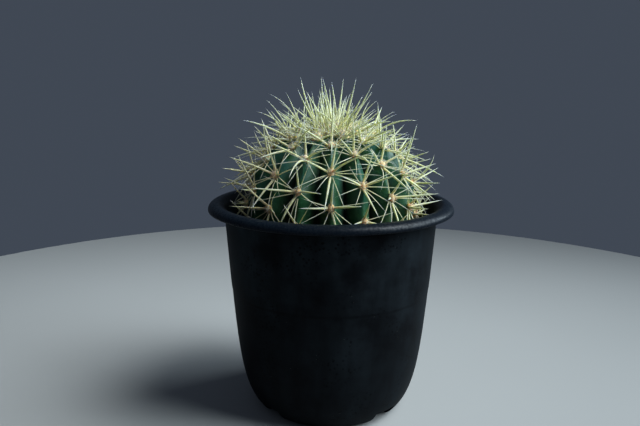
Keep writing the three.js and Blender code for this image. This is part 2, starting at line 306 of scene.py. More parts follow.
# Colours, as linear red, green and blue.
PLASTIC_BLACKS = (0.0012, 0.0014, 0.0019), (0.0030, 0.0036, 0.0048)
PLASTIC_DUST = (0.024, 0.034, 0.041)
# The lip's bluish tint: partly handling marks, partly a painted bluish sheen.
PLASTIC_HANDLED_AND_SHEEN = (0.006, 0.012, 0.021)
PLASTIC_SPECKS = (0.22, 0.22, 0.20)
SKIN_GREENS = (0.007, 0.048, 0.015), (0.022, 0.110, 0.038)
SKIN_BLOOM = (0.035, 0.15, 0.18)
SKIN_MOTTLES = (0.048, 0.170, 0.095)
SKIN_DOTS = (0.12, 0.24, 0.12)
SKIN_CORK = (0.13, 0.08, 0.045)
# Near-black painted shade for deep in the ribs' grooves.
SKIN_GROOVE_SHADE = (0.003, 0.013, 0.006)
OLD_FELT = (0.90, 0.50, 0.22), (0.97, 0.69, 0.38)
NEW_FELT = (0.92, 0.68, 0.38), (0.98, 0.84, 0.55)
HORN_TONE = (0.56, 0.60, 0.30)
HORN_MOTTLES = (0.46, 0.44, 0.28)
PEAT_BROWNS = (0.012, 0.008, 0.005), (0.085, 0.055, 0.034)
GRIT_DARK = (0.015, 0.01, 0.007)
FLOOR_GREYS = (0.36, 0.36, 0.35), (0.40, 0.40, 0.39)
STUDIO = (0.052, 0.065, 0.088)

# Colours by share: along a spine from its root to its tip, and from one kind of grain to another.
YOUNG_HORN = ((0.0, (0.68, 0.43, 0.21)), (0.08, (0.73, 0.60, 0.34)), (0.20, (0.75, 0.71, 0.43)),
              (0.55, (0.59, 0.62, 0.41)), (1.0, (0.43, 0.49, 0.44)))
WORN_HORN = ((0.0, (0.30, 0.14, 0.06)), (0.10, (0.48, 0.32, 0.18)), (0.30, (0.56, 0.46, 0.30)),
             (1.0, (0.42, 0.33, 0.24)))
GRIT_KINDS = ((0.0, (0.02, 0.013, 0.008)), (0.45, (0.07, 0.04, 0.022)), (0.75, (0.16, 0.10, 0.06)),
              (0.93, (0.24, 0.20, 0.16)), (1.0, (0.42, 0.40, 0.36)))

random = np.random.default_rng(41)


def smoothstep(low, high, value):
    share = min(max((value - low) / (high - low), 0), 1)
    return share * share * (3 - 2 * share)


def jitter(spread):
    return random.uniform(-spread, spread)


def place_at(r, turn, z):
    """The place at a radius, a turn and a height."""
    return Vector((r * math.sin(turn), -r * math.cos(turn), z))


def level_directions(turn):
    """The level directions away from the Z axis and round it, at a turn."""
    return place_at(1, turn, 0), Vector((math.cos(turn), math.sin(turn), 0))


# Meshes

def new_object(name, data):
    """An object with its data, in the scene."""
    made = bpy.data.objects.new(name, data)
    bpy.context.scene.collection.objects.link(made)
    return made


def mesh_object(name, vertices, faces, material, values=None):
    """A smooth-shaded object from vertices and faces, with one number per vertex for each named value."""
    mesh = bpy.data.meshes.new(name)
    mesh.from_pydata([tuple(v) for v in vertices], [], faces)
    mesh.update()
    mesh.shade_smooth()
    for value_name, numbers in (values or {}).items():
        attribute = mesh.attributes.new(value_name, "FLOAT", "POINT")
        attribute.data.foreach_set("value", np.asarray(numbers, dtype=np.float32))
    mesh.materials.append(material)
    return new_object(name, mesh)


def turned(outline, segments, shift=None):
    """Vertices and faces of an outline of (radius, height) turned about Z, with its ends on the axis."""
    vertices = [(0, 0, outline[0][1])]
    for r, z in outline[1:-1]:
        for i in range(segments):
            turn = 2 * math.pi * i / segments
            place = place_at(r, turn, z)
            vertices.append(shift(place) if shift else place)
    vertices.append((0, 0, outline[-1][1]))
    rings = len(outline) - 2
    faces = []
    for i in range(segments):
        after = (i + 1) % segments
        faces.append((0, 1 + after, 1 + i))
        for ring in range(rings - 1):
            low, high = 1 + ring * segments, 1 + (ring + 1) * segments
            faces.append((low + i, low + after, high + after, high + i))
        last = 1 + (rings - 1) * segments
        faces.append((last + i, last + after, len(vertices) - 1))
    return vertices, faces


def pointed_faces(rings, sides):
    """Faces over rings of vertices: a flat root, the sides, and the last ring drawn to a tip vertex."""
    faces = [tuple(range(sides - 1, -1, -1))]
    for ring in range(rings - 1):
        for side in range(sides):
            after = (side + 1) % sides
            low, high = ring * sides, (ring + 1) * sides
            faces.append((low + side, low + after, high + after, high + side))
    last = (rings - 1) * sides
    faces.extend((last + side, last + (side + 1) % sides, rings * sides) for side in range(sides))
    return faces


def tube(points, radii, sides, bend_axis):
    """A tapered closed form along points. It ends in one vertex at the tip, and its root is flat."""
    vertices = []
    rings = len(points) - 1
    for i in range(rings):
        ahead = (points[i + 1] - points[max(i - 1, 0)]).normalized()
        first = bend_axis - ahead * bend_axis.dot(ahead)
        first.normalize()
        second = ahead.cross(first)
        for side in range(sides):
            angle = 2 * math.pi * side / sides
            vertices.append(points[i] + (first * math.cos(angle) + second * math.sin(angle)) * radii[i])
    vertices.append(points[-1])
    return vertices, pointed_faces(rings, sides)


class Gathered:
    """Many small closed forms gathered into one mesh, with a number per vertex for each named value."""

    def __init__(self, *value_names):
        self.vertices = []
        self.faces = []
        self.values = {name: [] for name in value_names}

    def add(self, vertices, faces, **values):
        start = len(self.vertices)
        self.vertices.extend(vertices)
        self.faces.extend(tuple(start + corner for corner in face) for face in faces)
        for name, numbers in values.items():
            spread = numbers if isinstance(numbers, list) else [numbers] * len(vertices)
            self.values[name].extend(spread)

    def piece(self, name, material):
        return mesh_object(name, self.vertices, self.faces, material, self.values)


def finished(piece, node):
    """Puts a piece on the plant's one body, in place of a CAD node, which it hides."""
    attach(piece, BODY)
    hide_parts(node)


# Materials

class Nodes:
    """A material's node tree, with short ways to add its nodes and feed them."""

    # Which of a mixing node's inputs are its share and its two colours, and which output is a colour.
    MIX_INPUTS = (0, 6, 7)
    MIX_OUTPUT = 2

    def __init__(self, name):
        self.material = bpy.data.materials.new(name)
        self.material.use_nodes = True
        self.tree = self.material.node_tree
        self.shader = self.tree.nodes["Principled BSDF"]
        self.place = self.add("ShaderNodeTexCoord").outputs["Object"]

    def add(self, kind, sources=None, **settings):
        node = self.tree.nodes.new(kind)
        for name, setting in settings.items():
            setattr(node, name, setting)
        self.feed(node, sources or {})
        return node

    def feed(self, node, sources):
        """Joins each input to its source, or sets it if the source is a number or a tuple."""
        for name, source in sources.items():
            target = node.inputs[name]
            if isinstance(source, bpy.types.NodeSocket):
                self.tree.links.new(source, target)
            elif isinstance(source, tuple):
                target.default_value = (*source, 1)[:len(target.default_value)]
            elif source is not None:
                target.default_value = source

    def noise(self, scale, detail=4, roughness=0.55, stretch=(1, 1, 1)):
        place = self.add("ShaderNodeMapping", {"Vector": self.place, "Scale": stretch}).outputs["Vector"]
        sources = {"Vector": place, "Scale": scale, "Detail": detail, "Roughness": roughness}
        return self.add("ShaderNodeTexNoise", sources).outputs["Fac"]

    def cells(self, scale):
        """The distance to the nearest of many scattered points."""
        return self.add("ShaderNodeTexVoronoi", {"Vector": self.place, "Scale": scale}).outputs["Distance"]

    def value(self, name):
        return self.add("ShaderNodeAttribute", attribute_name=name).outputs["Fac"]

    def ramp(self, source, *stops):
        """Turns a source from 0 to 1 into greys or colours, with a stop for each position."""
        node = self.add("ShaderNodeValToRGB", {"Fac": source})
        elements = node.color_ramp.elements
        while len(elements) < len(stops):
            elements.new(0.5)
        for element, (position, color) in zip(elements, stops):
            element.position = position
            element.color = (*color, 1) if isinstance(color, tuple) else (color, color, color, 1)
        return node.outputs["Color"]

    def mix(self, *sources):
        """A share, and the colours that it goes from and to."""
        node = self.add("ShaderNodeMix", dict(zip(self.MIX_INPUTS, sources)), data_type="RGBA")
        return node.outputs[self.MIX_OUTPUT]

    def math(self, operation, *sources):
        return self.add("ShaderNodeMath", dict(enumerate(sources)), operation=operation).outputs["Value"]

    times = partialmethod(math, "MULTIPLY")
    plus = partialmethod(math, "ADD")
    minus = partialmethod(math, "SUBTRACT")

    def along_axis(self, axis):
        """The place along X, Y or Z, in metres."""
        return self.add("ShaderNodeSeparateXYZ", {"Vector": self.place}).outputs[axis]

    def from_axis(self):
        """The distance from the Z axis, in metres."""
        squares = [self.times(self.along_axis(axis), self.along_axis(axis)) for axis in "XY"]
        return self.math("POWER", self.plus(*squares), 0.5)

    def rise(self, source, low, high, to=1.0):
        """Goes smoothly from 0 to a value as the source goes from low to high."""
        sources = {"Value": source, "From Min": low, "From Max": high, "To Max": to}
        return self.add("ShaderNodeMapRange", sources, interpolation_type="SMOOTHSTEP").outputs["Result"]

    def bump(self, height, distance, strength, under=None):
        sources = {"Height": height, "Distance": distance, "Strength": strength, "Normal": under}
        return self.add("ShaderNodeBump", sources).outputs["Normal"]

    def finish(self, color, roughness, normal=None, coat=None, **settings):
        """Feeds the shader, and returns the material. A setting has its socket's name, in small letters."""
        sources = {"Base Color": color, "Roughness": roughness, "Normal": normal, "Coat Weight": coat}
        for name, setting in settings.items():
            sources[name.replace("_", " ").title().replace("Ior", "IOR")] = setting
        self.feed(self.shader, sources)
        return self.material


# Pot

def wall_outer(z):
    """The pot wall's outer radius at a height."""
    ledge = LEDGE_STEP * (1 - smoothstep(LEDGE_Z - LEDGE_STEP, LEDGE_Z + LEDGE_STEP, z))
    turn_in = HEEL_TURN_IN * math.exp(-(z / HEEL_FADE) ** HEEL_POWER)
    return MOUTH_R - TAPER * (POT_HEIGHT - z) - turn_in - ledge


def wall_inner(z):
    """The pot wall's inner radius at a height, with the wall's thickness measured square to its slope."""
    fade = (z / HEEL_FADE) ** HEEL_POWER
    slope = TAPER + HEEL_TURN_IN * HEEL_POWER * fade * math.exp(-fade) / z
    return wall_outer(z) - WALL * math.hypot(1, slope)


def lip_arc(thinner, wall_r, first, last, steps):
    """Points on the lip's rounded section, from one angle to another.

    The lip rolls over tightly outside and falls away more slowly inside. A thinner arc lies that far within.
    """
    for angle in np.radians(np.linspace(first, last, steps)):
        outward = math.cos(angle) > 0
        across = LIP_OUTER_R - thinner - LIP_CREST_R if outward else LIP_CREST_R - wall_r
        drop = LIP_DROP_OUT if outward else LIP_DROP_IN
        yield LIP_CREST_R + across * math.cos(angle), POT_HEIGHT - drop + (drop - thinner) * math.sin(angle)


def heights(low, high, steps, crowding):
    """Heights from low to high, closer together near low if crowding is over 1."""
    return [low + (high - low) * share ** crowding for share in np.linspace(0, 1, steps)]


def pot_outline():
    """The pot's section: under the floor, round the foot, up outside, over the lip and down inside."""
    floor_top = FOOT_HEIGHT + WALL
    foot_r = wall_outer(0)
    ring_r = foot_r - FOOT_WIDTH
    edge = ROUNDING
    neck_z = POT_HEIGHT - LIP_DROP_IN
    under = [*lip_arc(WALL, wall_outer(neck_z), 180, LIP_UNDERSIDE_END, steps=18)]
    over = [*lip_arc(0, wall_inner(neck_z), LIP_OUTSIDE_START, 180, steps=36)]
    brim_z = under[-1][1]
    brim = [(LIP_OUTER_R - WALL, brim_z - edge), (LIP_OUTER_R - WALL / 2, brim_z - 2 * edge)]
    outer = heights(edge, neck_z, steps=70, crowding=2.0)
    inner = heights(floor_top, neck_z, steps=30, crowding=1.6)
    return [
        (0, FOOT_HEIGHT),
        (ring_r - edge, FOOT_HEIGHT),
        (ring_r, FOOT_HEIGHT - edge),
        (ring_r, edge),
        (ring_r + edge, 0),
        (foot_r - edge, 0),
        *[(wall_outer(z), z) for z in outer],
        *under[1:],
        *brim,
        *over[:-1],
        *[(wall_inner(z), z) for z in reversed(inner)],
        (0, floor_top),
    ]


def notch_cutters(material):
    """Blocks that reach through the foot ring and the heel, one for each drain notch."""
    size = (NOTCH_WIDTH, 2 * HEEL_FADE, 2 * NOTCH_HEIGHT)
    place = Vector((0, NOTCH_REACH_IN - HEEL_FADE - wall_outer(0), 0))
    corners = [Vector((x, y, z)) * 0.5 for x in (-1, 1) for y in (-1, 1) for z in (-1, 1)]
    faces = [(0, 1, 3, 2), (4, 6, 7, 5), (0, 4, 5, 1), (2, 3, 7, 6), (0, 2, 6, 4), (1, 5, 7, 3)]
    for i in range(NOTCH_COUNT):
        spin = Matrix.Rotation(math.radians(NOTCH_TURN + 360 * i / NOTCH_COUNT), 3, "Z")
        vertices = [spin @ (Vector(c[axis] * size[axis] for axis in range(3)) + place) for c in corners]
        yield mesh_object(f"notch_{i}", vertices, faces, material)


def drain_hole_cutters(material):
    """Round plugs through the floor, one in the middle and a ring of them round it."""
    places = [Vector((0, 0, 0))]
    for i in range(DRAIN_RING_COUNT):
        turn = 2 * math.pi * i / DRAIN_RING_COUNT
        places.append(place_at(-DRAIN_RING_R, turn, 0))
    outline = [(0, 0), (DRAIN_HOLE_R, 0), (DRAIN_HOLE_R, 2 * FOOT_HEIGHT), (0, 2 * FOOT_HEIGHT)]
    vertices, faces = turned(outline, DRAIN_HOLE_SEGMENTS)
    for i, place in enumerate(places):
        yield mesh_object(f"hole_{i}", [Vector(v) + place for v in vertices], faces, material)


def cut_away(piece, cutters):
    """Cuts the cutters out of a piece for good, and removes them."""
    for cutter in cutters:
        cut = piece.modifiers.new(cutter.name, "BOOLEAN")
        cut.operation = "DIFFERENCE"
        cut.solver = "EXACT"
        cut.object = cutter
    graph = bpy.context.evaluated_depsgraph_get()
    piece.data = bpy.data.meshes.new_from_object(piece.evaluated_get(graph))
    piece.modifiers.clear()
    for cutter in cutters:
        bpy.data.objects.remove(cutter)
    piece.data.shade_smooth()


def make_pot():
    plastic = pot_plastic()
    vertices, faces = turned(pot_outline(), POT_SEGMENTS)
    pot = mesh_object("nursery_pot", vertices, faces, plastic)
    cut_away(pot, [*notch_cutters(plastic), *drain_hole_cutters(plastic)])
    pot.data.set_sharp_from_angle(angle=math.radians(POT_SHARP_ANGLE))
    finished(pot, "pot")


def pot_plastic():
    """Black moulded plastic with a satin skin and a few pale specks.

    Dust lies in washed patches and streaks, most high up, with clean spots and a clean line on the ledge.
    The lip has little of it, and the scuffed gloss of plastic that hands have held.
    Clouds of bluish tint on the lip are partly handling marks and partly a painted bluish sheen.
    """
    n = Nodes("pot_plastic")
    height = n.along_axis("Z")
    cloud = n.noise(24, detail=5, roughness=0.62)
    streaks = n.noise(80, detail=3, stretch=(1, 1, 0.12))
    patches = n.times(n.ramp(cloud, (0.36, 0.12), (0.68, 1.0)), n.ramp(streaks, (0.25, 0.35), (0.7, 1.0)))
    high_up = n.plus(n.rise(height, 60 * MM, POT_HEIGHT - 12 * MM, to=0.6), 0.4)
    under_lip = n.minus(high_up, n.rise(height, POT_HEIGHT - 9 * MM, POT_HEIGHT - 5 * MM, to=0.9))
    splashed = n.ramp(n.noise(30, detail=2), (0.50, 0.0), (0.60, 1.0))
    spots = n.times(n.ramp(n.cells(360), (0.20, 0.9), (0.36, 0.0)), splashed)
    washed = n.times(n.times(patches, under_lip), n.minus(1.0, spots))
    line_start = n.rise(height, LEDGE_Z - 1.6 * MM, LEDGE_Z - 0.6 * MM)
    line = n.minus(line_start, n.rise(height, LEDGE_Z + 0.2 * MM, LEDGE_Z + 1.2 * MM))
    clean = n.times(line, n.ramp(n.noise(40, detail=3), (0.36, 0.0), (0.64, 0.7)))
    dust = n.times(washed, n.minus(1.0, clean))
    wall = n.mix(dust, n.mix(streaks, *PLASTIC_BLACKS), PLASTIC_DUST)
    on_top = n.rise(height, POT_HEIGHT - 7 * MM, POT_HEIGHT - 4 * MM)
    on_lip = n.times(on_top, n.rise(n.from_axis(), LIP_CREST_R - 4 * MM, LIP_CREST_R))
    # Painted sheen: clouds of bluish tint on the lip stand partly for the lamps' bluish reflection, partly
    # for handling marks.
    handled_and_sheen = n.times(on_lip, n.ramp(cloud, (0.3, 0.25), (0.6, 0.6)))
    clustered = n.ramp(n.noise(60, detail=1), (0.62, 0.0), (0.68, 1.0))
    specks = n.times(n.ramp(n.cells(430), (0.0, 1.0), (0.09, 0.0)), clustered)
    color = n.mix(specks, n.mix(handled_and_sheen, wall, PLASTIC_HANDLED_AND_SHEEN), PLASTIC_SPECKS)
    scuffs = n.ramp(n.noise(700, detail=3, roughness=0.6), (0.40, 0.15), (0.60, 1.0))
    gloss = n.times(n.times(on_lip, scuffs), 0.38)
    smoother_lip = n.rise(height, POT_HEIGHT - 12 * MM, POT_HEIGHT - 6 * MM, to=-0.18)
    uneven = n.plus(n.times(dust, 0.25), n.times(streaks, 0.16))
    roughness = n.plus(n.plus(uneven, 0.48), smoother_lip)
    grain = n.bump(n.noise(2600, detail=2), 0.05 * MM, strength=0.35)
    waves = n.bump(n.noise(26, detail=2, stretch=(1, 1, 0.4)), 0.5 * MM, strength=0.35, under=grain)
    return n.finish(color, roughness, waves, gloss, specular_ior_level=0.03, coat_roughness=0.36)


# Cactus body

def crest_point(latitude):
    """The rib crest's radius and height at a latitude, and its outward normal's."""
    angle = math.radians(latitude)
    power = 2 / BODY_SQUARENESS
    rise = BODY_UP if latitude >= 0 else -BODY_DOWN
    r = BODY_R * max(math.cos(angle), TINY) ** power
    z = BODY_MIDDLE_Z + rise * abs(math.sin(angle)) ** power
    out = Vector(((r / BODY_R) ** (BODY_SQUARENESS - 1) / BODY_R,
                  (abs(z - BODY_MIDDLE_Z) / abs(rise)) ** (BODY_SQUARENESS - 1) / rise)).normalized()
    return r, z, out


def crest_table():
    """Arc, radius and height down the crest from the crown's middle."""
    rows = []
    arc = 0.0
    for latitude in np.arange(90, CREST_TABLE_END, -CREST_TABLE_STEP):
        r, z, _ = crest_point(latitude)
        if rows:
            arc += math.hypot(r - rows[-1][1], z - rows[-1][2])
        rows.append((arc, r, z))
    return np.array(rows)


CREST = crest_table()


def arc_at(z):
    """The arc down the crest at a height."""
    return float(np.interp(-z, -CREST[:, 2], CREST[:, 0]))


def crest_at(arc):
    """Radius, height and slope below level at an arc down the crest."""
    arcs = (arc, arc + 0.2 * MM)
    (r, next_r), (z, next_z) = (np.interp(arcs, CREST[:, 0], CREST[:, i]).tolist() for i in (1, 2))
    return r, z, math.atan2(z - next_z, next_r - r)


def first_arc(rib):
    """The arc of a rib's first areole."""
    return AREOLE_FIRST + (rib * AREOLE_SHIFT) % 1 * AREOLE_PITCH


def skin_depth(r, z, turn, arc):
    """How far the skin lies in from the smooth crest line: ribs' grooves, less the hump at each areole."""
    ribs_round = RIBS * turn / (2 * math.pi)
    rib = round(ribs_round)
    aside = abs(ribs_round - rib)
    off_crown = min(max((r - CROWN_R) / (BODY_R - CROWN_R), 0), 1) ** GROOVE_START_POWER
    off_root = smoothstep(NECK_Z, BODY_MIDDLE_Z - BODY_DOWN / 3, z)
    groove = GROOVE_DEPTH * off_crown * off_root * (2 * aside) ** GROOVE_POWER
    along = (arc - first_arc(rib % RIBS)) / AREOLE_PITCH - HUMP_BELOW
    across_crest = max(1 - HUMP_NARROWNESS * aside, 0) ** HUMP_SIDE_POWER
    on_crest = across_crest * min(off_crown * HUMP_START, 1) * off_root
    hump = HUMP * on_crest * (0.5 + 0.5 * math.cos(2 * math.pi * along)) ** HUMP_LENGTH_POWER
    return groove - hump


def make_body():
    """The whole plant's skin, turned along the crests and then pressed in between them."""
    buried = [(ROOT_TIP_R, ROOT_TIP_Z), (ROOT_R, NECK_Z - ROOT_R), (2 * ROOT_R, NECK_Z)]
    dish_z = BODY_TOP_Z - CROWN_DIP
    hidden = np.linspace(NECK_LATITUDE, FINE_ROWS_LOWEST, BURIED_ROWS)
    shown = np.linspace(FINE_ROWS_LOWEST, FINE_ROWS_HIGHEST, FINE_ROWS)
    crest = [crest_point(latitude) for latitude in (*hidden, *shown[1:])]
    outline = [(0, ROOT_TIP_Z), *buried, *[(r, z) for r, z, _ in crest], (CROWN_R, dish_z), (0, dish_z)]
    segments = RIBS * STEPS_PER_RIB
    vertices, faces = turned(outline, segments)
    moved = [Vector(v) for v in vertices]
    start = 1 + len(buried) * segments
    hollows = np.zeros(len(moved))
    for row, (r, z, out) in enumerate(crest):
        arc = arc_at(z)
        for i in range(segments):
            index = start + row * segments + i
            turn = 2 * math.pi * i / segments
            depth = skin_depth(r, z, turn, arc)
            outward = place_at(out.x, turn, out.y)
            bumps = BUMP * noise.noise(moved[index] / BUMP_SIZE) * smoothstep(CROWN_R, 2 * CROWN_R, r)
            moved[index] = moved[index] - outward * (depth - bumps)
            hollows[index] = min(max(depth / GROOVE_DEPTH, 0), 1)
    body = mesh_object("cactus_body", moved, faces, cactus_skin(), {"hollow": hollows})
    body.data.set_sharp_from_angle(angle=math.radians(BODY_SHARP_ANGLE))
    finished(body, "cactus")


def cactus_skin():
    """Waxy dark green skin: blue bloom on the young top, near-black painted shade in the grooves, pale dots
    and cork low down.
    """
    n = Nodes("cactus_skin")
    young = n.rise(n.along_axis("Z"), 145 * MM, BODY_TOP_Z)
    patches = n.noise(42, roughness=0.6)
    green = n.mix(patches, *SKIN_GREENS)
    bloom = n.times(n.ramp(n.noise(70, detail=3), (0.45, 0.0), (0.68, 1.0)), young)
    bloomed = n.mix(n.times(bloom, 0.7), green, SKIN_BLOOM)
    mottles = n.ramp(n.noise(260, roughness=0.7), (0.48, 0.0), (0.66, 0.4))
    mottled = n.mix(mottles, bloomed, SKIN_MOTTLES)
    dots = n.ramp(n.cells(900), (0.0, 1.0), (0.22, 0.0))
    dotted = n.mix(n.times(dots, 0.3), mottled, SKIN_DOTS)
    low_down = n.minus(1.0, n.ramp(young, (0.0, 0.0), (0.35, 1.0)))
    cork = n.times(n.ramp(n.noise(55, detail=5, roughness=0.7), (0.58, 0.0), (0.70, 1.0)), low_down)
    corky = n.mix(n.times(cork, 0.7), dotted, SKIN_CORK)
    hollow = n.value("hollow")
    # Painted shade: the skin darkens to near black deep in the grooves, where shade falls.
    color = n.mix(n.ramp(hollow, (0.25, 0.0), (0.85, 1.0)), corky, SKIN_GROOVE_SHADE)
    waxy = n.plus(n.times(patches, 0.25), 0.25)
    roughness = n.plus(waxy, n.ramp(hollow, (0.3, 0.0), (0.8, 0.35)))
    pores = n.bump(n.cells(1500), 0.06 * MM, strength=0.5)
    folds = n.bump(n.noise(160, detail=3), 0.35 * MM, strength=0.5, under=pores)
    return n.finish(color, roughness, folds, specular_ior_level=0.34)


# Areoles

def seat_at(place, normal, across, age, youth=1.0, lowness=0.0):
    """What an areole's felt and spines are placed by."""
    return {"place": place, "normal": normal, "up": normal.cross(across), "across": across, "age": age,
            "youth": youth, "lowness": lowness}


def areole_seats():
    """Every areole outside the crown: its place on the hump, how young and low it is, and how worn, with
    painted shade at the left.
    """
    seats = []
    for rib in range(RIBS):
        turn = 2 * math.pi * rib / RIBS
        outward, across = level_directions(turn)
        arc = first_arc(rib)
        while crest_at(arc)[1] > AREOLE_LOWEST_Z:
            r, z, slope = crest_at(arc)
            if r >= CROWN_R + AREOLE_OFF_CROWN:
                normal = outward * math.sin(slope) + Vector((0, 0, math.cos(slope)))
                place = outward * r + Vector((0, 0, z)) + normal * HUMP * AREOLE_ON_HUMP
                # Painted shade: browning on the left side, away from the lamps, is added to the age as if it
                # were wear.
                left_shade = smoothstep(*LEFT_SIDE, -math.sin(turn)) * smoothstep(*LEFT_SHADE_Z, z)
                wear = WEAR + RIGHT_WEAR * smoothstep(*RIGHT_SIDE, math.sin(turn))
                age = min(wear * smoothstep(*WEAR_Z, z) + LEFT_SHADE * left_shade, 1)
                youth = 1 - smoothstep(CROWN_R, YOUNG_ARC, arc)
                seats.append(seat_at(place, normal, across, age, youth, 1 - smoothstep(*LOW_Z, z)))
            arc += AREOLE_PITCH
    return seats


def add_hair(gathered, place, direction, length, thickness, age):
    """One short hair of wool: a thin bent spike."""
    side = direction.orthogonal().normalized()
    side.rotate(Matrix.Rotation(random.uniform(0, 2 * math.pi), 3, direction))
    bend = side * length * random.uniform(*HAIR_BENDS)
    middle = place + direction * length * HAIR_MIDDLE + bend * HAIR_MIDDLE_BEND
    tip = place + direction * length * HAIR_TIP + bend
    radii = [thickness, thickness * HAIR_TAPER]
    vertices, faces = tube([place, middle, tip], radii, HAIR_SIDES, side.cross(direction))
    gathered.add(vertices, faces, age=age)


def add_cushion(gathered, seat, wide, tall, high, age):
    """A small domed pad of felt on its seat."""
    vertices = []
    for row in range(PAD_ROWS):
        angle = math.pi / 2 * row / PAD_ROWS
        for side in range(PAD_SIDES):
            turn = 2 * math.pi * side / PAD_SIDES
            lump = 1 + jitter(PAD_LUMPS)
            flat = seat["across"] * wide * math.cos(turn) + seat["up"] * tall * math.sin(turn)
            rise = high * math.sin(angle) * lump - PAD_SINK
            vertices.append(seat["place"] + flat * math.cos(angle) * lump + seat["normal"] * rise)
    vertices.append(seat["place"] + seat["normal"] * (high - PAD_SINK))
    gathered.add(vertices, pointed_faces(PAD_ROWS, PAD_SIDES), age=age)


def add_tuft(gathered, seat, size, hairs, age):
    """A felt pad on its seat, with short hairs standing out of it."""
    wide, tall, high = PAD_WIDE * size, PAD_TALL * size, PAD_HIGH * size
    add_cushion(gathered, seat, wide, tall, high, age)
    for _ in range(hairs):
        turn = random.uniform(0, 2 * math.pi)
        share = math.sqrt(random.uniform(0, 1))
        flat = seat["across"] * wide * math.cos(turn) + seat["up"] * tall * math.sin(turn)
        direction = (seat["normal"] + flat / (2 * tall) * share).normalized()
        root_height = 0.5 * high - PAD_HAIR_SINK * share
        place = seat["place"] + flat * share * 0.95 + seat["normal"] * root_height
        length = random.uniform(*FELT_HAIR_LENGTHS) * MM * size
        add_hair(gathered, place, direction, length, FELT_HAIR_R, age)


def make_felt(seats):
    felt = Gathered("age")
    for seat in seats:
        age = 1 - smoothstep(*OLD_FELT_Z, seat["place"].z)
        add_tuft(felt, seat, PAD_SIZE + YOUNG_PAD_GROWTH * seat["youth"] ** 2, PAD_HAIRS, age)
    finished(felt.piece("areole_felt", felt_wool("areole_felt")), "cactus")


def felt_wool(name):
    """Short matted wool, cream on young areoles and peach to tan on older ones."""
    n = Nodes(name)
    clumps = n.noise(900, roughness=0.7)
    old = n.mix(clumps, *OLD_FELT)
    new = n.mix(clumps, *NEW_FELT)
    color = n.mix(n.ramp(n.value("age"), (0.1, 0.0), (0.8, 1.0)), new, old)
    roughness = n.plus(n.times(clumps, 0.15), 0.8)
    matted = n.bump(n.noise(3200, detail=3), 0.15 * MM, strength=0.7)
    return n.finish(color, roughness, matted, sheen_weight=0.4, subsurface_weight=0.7, subsurface_scale=1.0,
                    subsurface_radius=(2.2 * MM, 1.4 * MM, 0.8 * MM))


# Spines

def segment_distances(start, end, starts, ends):
    """The least distance from one segment to each of many."""
    u, v, w = end - start, ends - starts, start - starts
    uu, uv, vv = u @ u, v @ u, np.einsum("ij,ij->i", v, v)
    uw, vw = w @ u, np.einsum("ij,ij->i", v, w)
    skew = np.maximum(uu * vv - uv * uv, PARALLEL)
    s = np.clip((uv * vw - vv * uw) / skew, 0, 1)
    t = np.clip((uv * s + vw) / vv, 0, 1)
    s = np.clip((uv * t - uw) / uu, 0, 1)
    return np.linalg.norm(w + s[:, None] * u - t[:, None] * v, axis=1)


class Thicket:
    """The spines placed so far, each kept as three straight stretches for the next ones to clear.

    The first step of a spine isn't kept, because the roots grow together in the felt.
    """

    STRETCHES = ((1, 3), (3, 6), (6, SPINE_STEPS))
    SLIMMING = np.array((1.0, 0.95, 0.7))

    def __init__(self):
        self.starts = np.empty((0, 3))
        self.ends = np.empty((0, 3))
        self.radii = np.empty(0)

    def has_room(self, points, radius):
        for (first, last), slimming in zip(self.STRETCHES, self.SLIMMING):
            near = segment_distances(points[first], points[last], self.starts, self.ends)
            if np.any(near < self.radii + radius * slimming + SPINE_CLEARANCE):
                return False
        return True

    def keep(self, points, radius):
        self.starts = np.vstack([self.starts, *[points[first] for first, _ in self.STRETCHES]])
        self.ends = np.vstack([self.ends, *[points[last] for _, last in self.STRETCHES]])
        self.radii = np.append(self.radii, radius * self.SLIMMING)


def is_open(points, stray):
    """Whether a spine's outer points clear the soil, the pot and the body, and keep to the plant's reach."""
    for x, y, z in points[2:]:
        r = math.hypot(x, y)
        over_lip = z > POT_HEIGHT + WALL
        reach_r = min(REACH_R_AT_TOP + stray + REACH_WIDENING * (REACH_TOP - z), REACH_R)
        if over_lip and (z > REACH_TOP or r > reach_r):
            return False
        if not over_lip and (z < SOIL_TOP + SPINE_OVER_SOIL or r > wall_inner(SOIL_TOP) - WALL):
            return False
        height_share = abs(z - BODY_MIDDLE_Z) / BODY_UP
        if (r / BODY_R) ** BODY_SQUARENESS + height_share ** BODY_SQUARENESS < BODY_CLEARANCE:
            return False
    return True


def spine_points(seat, turn, tilt, length, ring_r, curve):
    """A spine's centre line, and the axis that it bends round.

    The tilt is up from the skin. The spine leaves its seat a little steeper and bends back over its length.
    """
    ring = seat["up"] * math.cos(turn) + seat["across"] * math.sin(turn)
    steep = min(tilt + curve / 2, STEEPEST)
    direction = ring * math.cos(steep) + seat["normal"] * math.sin(steep)
    bend = ring * -math.sin(steep) + seat["normal"] * math.cos(steep)
    place = seat["place"] + ring * ring_r - seat["normal"] * SPINE_SINK
    points = [place]
    step = (length + SPINE_SINK) / SPINE_STEPS
    for i in range(SPINE_STEPS):
        angle = curve * (i + 0.5) / SPINE_STEPS
        place = place + (direction * math.cos(angle) - bend * math.sin(angle)) * step
        points.append(place)
    return points, direction.cross(bend)


